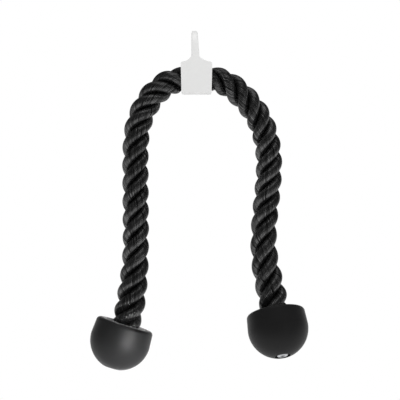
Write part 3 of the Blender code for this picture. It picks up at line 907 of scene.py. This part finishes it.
    def _bore(self) -> Shape:
        """The cutter of the bore that the rope passes through."""
        cutter = self._through(self.bore_radius, self.mouth_radius, self.bore_length)
        cutter.transform(Matrix.Translation(self.bore_middle))
        return cutter

    def _lock_hole(self) -> Shape:
        """The cutter of the set screw's hole in the back wall."""
        far = self.collar_depth / 2 + self.overrun
        outline = [(0, 0), (self.lock_hole_radius, 0), (self.lock_hole_radius, far), (0, far)]
        cutter = turned(outline, self.lock_hole_sides)
        cutter.transform(Matrix.Rotation(-math.pi / 2, 4, "X"))
        cutter.transform(Matrix.Translation(self.bore_middle))
        return cutter


@dataclass
class Rope:
    """The rope: two legs and the stretch that lies in the collar."""

    connector: Connector
    lay: RopeLay = field(default_factory=RopeLay)
    cut_inset: float = 0.0070
    cut_gap: float = 0.0006
    bend_length: float = 0.055
    path_step: float = 0.004
    socket_depth: float = 0.0300
    held_share: float = 0.932
    loose_share: float = 1.12
    relief_length: float = 0.0120
    face_ease: float = 0.0030
    loose_length: float = 0.0240
    loosening_length: float = 0.0920

    def __post_init__(self) -> None:
        """Run the centreline from the left rope end to the right."""
        self.route = Route([tuple(point) for point in self._points()])
        self.mouths = {side: self.route.length_near(self.connector.mouth(side)) for side in Side}
        self.cuts = {side: self.mouths[side] - side.value * self.cut_inset for side in Side}
        self.ends = {Side.LEFT: 0.0, Side.RIGHT: float(self.route.lengths[-1])}
        self.girth = Profile([station for side in Side for station in self._stations(side)])

    def _stations(self, side: Side) -> list[Pair]:
        """A leg's widths: held in the collar, full, looser at the stopper, held in its socket."""
        mouth, end = self.mouths[side], self.ends[side]
        face = end - side.value * self.socket_depth
        return [
            (mouth, self.held_share),
            (mouth + side.value * self.relief_length, 1.0),
            (face - side.value * self.loosening_length, 1.0),
            (face - side.value * self.loose_length, self.loose_share),
            (face - side.value * self.face_ease, self.loose_share),
            (face + side.value * self.face_ease, self.held_share),
            (end, self.held_share),
        ]

    def _points(self) -> list[Vector]:
        """The centreline's points, from the left rope end to the right."""
        legs, inner = {}, {}
        for side in Side:
            mouth = self.connector.mouth(side)
            legs[side] = [
                mouth + Vector((side.value * out, back, -down)) for out, back, down in side.route
            ]
            inner[side] = mouth - Vector((side.value * self.cut_inset, 0, 0))
        middle = (inner[Side.LEFT] + inner[Side.RIGHT]) / 2
        held = [inner[Side.LEFT], middle, inner[Side.RIGHT]]
        return legs[Side.LEFT][::-1] + held + legs[Side.RIGHT]

    def build(self, finish: Finish) -> list[Piece]:
        """Make the collar's stretch and both legs."""
        return [self._build_middle(finish)] + [self._build_leg(side, finish) for side in Side]

    def _build_middle(self, finish: Finish) -> Piece:
        """The stretch inside the collar, which the connector holds."""
        start, end = self.cuts[Side.LEFT], self.cuts[Side.RIGHT]
        piece = self._stretch("collar_rope", start, end, finish, "collar")
        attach(piece, "connector")
        return piece

    def _build_leg(self, side: Side, finish: Finish) -> Piece:
        """One leg, from inside its mouth to its end in the stopper."""
        cut, end = self.cuts[side] + side.value * self.cut_gap, self.ends[side]
        neck, leg = f"{side.word}_neck", f"{side.word}_leg"
        piece = self._stretch(f"{leg}_rope", cut, end, finish, neck, leg)
        hinge = self.route.place(self.mouths[side])
        bent = self.route.place(self.mouths[side] + side.value * self.bend_length)
        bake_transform(piece)
        length = abs(end - cut)
        reads = np.linspace(cut, end, round(length / self.path_step) + 1)
        path = self.route.read(reads)[0].tolist()
        tuple(self.connector.mouth(side))
        return piece

    def _stretch(
        self, name: str, start: float, end: float, finish: Finish, *stands_for: str,
    ) -> Piece:
        """A stretch of rope, which stands for the CAD strands of the named stretches."""
        piece = self.lay.stretch(name, self.route, self.girth, start, end)
        finish.dress(piece)
        numbers = range(1, self.lay.strands + 1)
        nodes = [f"{part}_strand_{number}" for part in stands_for for number in numbers]
        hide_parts(*nodes)
        return piece


@dataclass
class Stopper:
    """The rubber stopper on a rope end, with the washer and the screw in its recess."""

    rope: Rope
    side: Side
    rim_diameter: float = 0.0672
    diameter: float = 0.0695
    barrel: float = 0.0195
    rim_radius: float = 0.0042
    mouth_radius: float = 0.0026
    socket_radius: float = 0.01465
    recess_diameter: float = 0.0180
    recess_depth: float = 0.0080
    recess_edge_radius: float = 0.0008
    fit_gap: float = 0.0003
    washer_diameter: float = 0.0164
    washer_thickness: float = 0.0016
    washer_edge_share: float = 1 / 6
    screw_diameter: float = 0.0080
    screw_head_diameter: float = 0.0130
    screw_head_height: float = 0.0042
    screw_head_radius: float = 0.0018
    key_width: float = 0.0050
    key_depth: float = 0.0026
    key_sides: int = 6
    sides: int = 128
    rim_steps: int = 10
    dome_steps: int = 40
    lip_steps: int = 5
    mouth_steps: int = 6
    washer_edge_steps: int = 3
    screw_head_steps: int = 8

    @property
    def place(self) -> Matrix:
        """The stopper's frame: its face's middle, with -Z down the rope."""
        end = self.rope.ends[self.side]
        face = self.rope.route.place(end - self.side.value * self.rope.socket_depth)
        upwards = (face - self.rope.route.place(end)).normalized()
        aside = upwards.cross(Vector((1, 0, 0))).normalized()
        frame = Matrix((aside.cross(upwards), aside, upwards)).transposed().to_4x4()
        frame.translation = face
        return frame

    @property
    def recess_floor(self) -> float:
        """Height of the recess's floor, from the stopper's face."""
        return self.recess_depth - self.barrel - self.diameter / 2

    def build(self, rubber: Finish, zinc: Finish) -> list[Piece]:
        """Make the stopper, its washer and its screw on their body."""
        pieces = [
            self._piece("stopper_rubber", "stopper", self._rubber(), rubber),
            self._piece("washer", "end_washer", self._washer(), zinc),
            self._piece("screw", "end_screw", self._screw(), zinc),
        ]
        zinc.dress(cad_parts[f"{self.side.word}_rope_end_cup"])
        return pieces

    def _piece(self, name: str, node: str, shape: Shape, finish: Finish) -> Piece:
        """Set a turned shape on the rope end and let it stand for its node."""
        word = self.side.word
        shape.transform(self.place)
        piece = new_piece(f"{word}_{name}", shape)
        finish.dress(piece)
        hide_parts(f"{word}_{node}")
        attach(piece, f"{word}_leg")
        return piece

    def _rubber(self) -> Shape:
        """The rubber, turned round its socket, its dome and its recess."""
        rim, dome, recess = self.rim_diameter / 2, self.diameter / 2, self.recess_diameter / 2
        lip = recess + self.recess_edge_radius
        lip_angle = math.degrees(math.asin(lip / dome))
        lip_height = -self.barrel - dome * math.cos(math.radians(lip_angle))
        hole = self.screw_diameter / 2 + self.fit_gap
        floor = -self.rope.socket_depth - self.fit_gap
        edge = self.recess_edge_radius
        shoulder = (rim - self.rim_radius, -self.rim_radius)
        outline = arc(shoulder, self.rim_radius, 90, 0, self.rim_steps)
        outline += arc((0, -self.barrel), dome, 0, lip_angle - 90, self.dome_steps)
        outline += arc((lip, lip_height + edge), edge, 270, 180, self.lip_steps)[1:]
        outline += [(recess, self.recess_floor), (hole, self.recess_floor), (hole, floor)]
        outline += [(self.socket_radius, floor)]
        mouth = (self.socket_radius + self.mouth_radius, -self.mouth_radius)
        outline += arc(mouth, self.mouth_radius, 180, 90, self.mouth_steps)
        return turned(outline, self.sides)

    def _washer(self) -> Shape:
        """The washer on the recess's floor."""
        top = self.recess_floor - self.fit_gap
        low = top - self.washer_thickness
        inner = self.screw_diameter / 2 + self.fit_gap
        outer = self.washer_diameter / 2
        edge = self.washer_thickness * self.washer_edge_share
        corners = [(inner, low), (outer, low), (outer, top), (inner, top)]
        outline = rounded(corners, [edge] * len(corners), self.washer_edge_steps)
        return turned(outline, self.sides)

    def _screw(self) -> Shape:
        """The screw, its domed head down and its tip just under the rope end."""
        seat = self.recess_floor - 2 * self.fit_gap - self.washer_thickness
        head, shank = self.screw_head_diameter / 2, self.screw_diameter / 2
        tip = -self.rope.socket_depth - 2 * self.fit_gap
        low = seat - self.screw_head_height
        middle = (head - self.screw_head_radius, low + self.screw_head_radius)
        outline = [(0, tip), (shank, tip), (shank, seat), (head, seat)]
        outline += arc(middle, self.screw_head_radius, 0, -90, self.screw_head_steps)
        blank = new_piece("screw_blank", turned(outline + [(0, low)], self.sides))
        combine(blank, self._key(low), "DIFFERENCE")
        shape = bmesh.new()
        shape.from_mesh(blank.data)
        bpy.data.objects.remove(blank)
        return shape

    def _key(self, height: float) -> Shape:
        """The cutter of the six-sided socket in the screw's head."""
        cutter = bmesh.new()
        radius = self.key_width / math.sqrt(3)
        bmesh.ops.create_cone(
            cutter, cap_ends=True, segments=self.key_sides, radius1=radius, radius2=radius,
            depth=2 * self.key_depth,
        )
        cutter.transform(Matrix.Translation((0, 0, height)))
        return cutter


@dataclass(frozen=True)
class Softbox:
    """A rectangular studio lamp that faces the attachment."""

    name: str
    place: Point
    aim: Point
    width: float
    height: float
    radiance: float
    spread_degrees: float = 180.0

    def build(self) -> None:
        """Put the lamp in the scene."""
        lamp = bpy.data.lights.new(self.name, "AREA")
        lamp.shape = "RECTANGLE"
        lamp.size, lamp.size_y = self.width, self.height
        lamp.energy = self.radiance * math.pi * self.width * self.height
        lamp.spread = math.radians(self.spread_degrees)
        item = linked(self.name, lamp)
        item.location = self.place
        towards = Vector(self.aim) - Vector(self.place)
        item.rotation_euler = towards.to_track_quat("-Z", "Y").to_euler()
        item.visible_camera = False


@dataclass
class Studio:
    """A white studio with a pale floor, soft lamps and the photograph's camera."""

    pixel_size: float = 0.00115
    origin_pixel: Pair = (194.7, 46.4)
    image_size: int = 400
    camera_distance: float = 2.4
    sensor_width: float = 36.0
    floor_radius: float = 1.30
    floor_drop: float = 0.65
    floor_sides: int = 96
    ambient: float = 0.96
    front_glow: float = 0.05
    glow_tilt: float = 1.8
    glow_start: float = -0.35
    glow_end: float = 0.90
    softboxes: tuple[Softbox, ...] = (
        Softbox("right_strip", (0.80, -1.386, -0.25), (0, 0, -0.25), 0.25, 0.60, 2.0),
        Softbox(
            "left_stopper_spot", (0.482, -1.027, -0.44), (-0.092, 0, -0.402), 0.06, 0.06, 19.0,
            spread_degrees=9.4,
        ),
        Softbox("low_front_panel", (0.0, -1.126, -0.85), (0, 0, -0.2), 0.80, 0.50, 0.2),
        Softbox("top_panel", (0.0, -0.362, 1.152), (0, 0, -0.2), 1.0, 1.0, 0.8),
    )

    @property
    def view_middle(self) -> Vector:
        """The place in the object's plane that the camera looks at."""
        half = self.image_size / 2
        across = (half - self.origin_pixel[0]) * self.pixel_size
        up = (self.origin_pixel[1] - half) * self.pixel_size
        return Vector((across, 0, up))

    def build(self) -> None:
        """Set up the floor, the lamps, the world and the camera."""
        self._build_floor()
        for softbox in self.softboxes:
            softbox.build()
        self._build_world()
        self._build_camera()
        bpy.context.scene.view_settings.view_transform = "Standard"

    def _build_floor(self) -> None:
        """A round pale floor below the hanging rope."""
        shape = bmesh.new()
        bmesh.ops.create_circle(
            shape, cap_ends=True, segments=self.floor_sides, radius=self.floor_radius,
        )
        height = CAD_BOX[0][2] - self.floor_drop
        shape.transform(Matrix.Translation((self.view_middle.x, 0, height)))
        floor = new_piece("studio_floor", shape)
        floor.data.materials.append(PalePaper().material)

    def _build_world(self) -> None:
        """White for the camera and for reflections, and a dimmer light on the rest."""
        world = bpy.data.worlds.new("white_studio")
        world.use_nodes = True
        bpy.context.scene.world = world
        graph = Graph(world.node_tree)
        rays = {
            name: graph.node("ShaderNodeLightPath", {}, {}, f"Is {name} Ray")
            for name in ("Camera", "Glossy", "Transmission")
        }
        seen = rays["Camera"].over(rays["Transmission"])
        glow = self._glow(graph)
        soft = self.ambient + (glow - self.ambient) * rays["Glossy"]
        strength = soft + (1.0 - soft) * seen
        inputs = {"Color": (1.0, 1.0, 1.0, 1.0), "Strength": strength}
        background = graph.node("ShaderNodeBackground", {}, inputs)
        graph.node("ShaderNodeOutputWorld", {}, {"Surface": background})

    def _glow(self, graph: Graph) -> Value:
        """What reflections see: white behind and below, dimmer in front and above."""
        way = graph.node("ShaderNodeTexCoord", {}, {}, "Generated")
        back = graph.node("ShaderNodeSeparateXYZ", {}, {0: way}, "Y")
        up = graph.node("ShaderNodeSeparateXYZ", {}, {0: way}, "Z")
        lean = back - self.glow_tilt * up
        inputs = {
            "Value": lean,
            "From Min": self.glow_start,
            "From Max": self.glow_end,
            "To Min": self.front_glow,
            "To Max": 1.0,
        }
        return graph.node("ShaderNodeMapRange", {"interpolation_type": "SMOOTHSTEP"}, inputs)

    def _build_camera(self) -> None:
        """The camera in front of the attachment, level with the picture's middle."""
        camera = bpy.data.cameras.new("photograph_camera")
        camera.sensor_width = self.sensor_width
        frame_width = self.image_size * self.pixel_size
        camera.lens = self.sensor_width * self.camera_distance / frame_width
        item = linked("photograph_camera", camera)
        item.location = self.view_middle - Vector((0, self.camera_distance, 0))
        item.rotation_euler = (math.pi / 2, 0, 0)
        bpy.context.scene.camera = item


def write_sizes() -> None:
    """Bring the scene's placements up to date."""
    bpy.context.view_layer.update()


def main() -> None:
    """Dress the attachment and set up its studio."""
    logging.basicConfig(level=logging.INFO, format="%(message)s")
    nickel, zinc, fibre, rubber = SatinNickel(), ZincPlate(), RopeFibre(), MouldedRubber()
    connector = Connector()
    rope = Rope(connector)
    pieces = [connector.build(nickel), *rope.build(fibre)]
    for side in Side:
        pieces += Stopper(rope, side).build(rubber, zinc)
    zinc.dress(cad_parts["rope_lock_screw"])
    Studio().build()
    write_sizes()
    for piece in pieces:
        LOG.info("%s: %d faces", piece.name, len(piece.data.polygons))


if __name__ == "__main__":
    main()
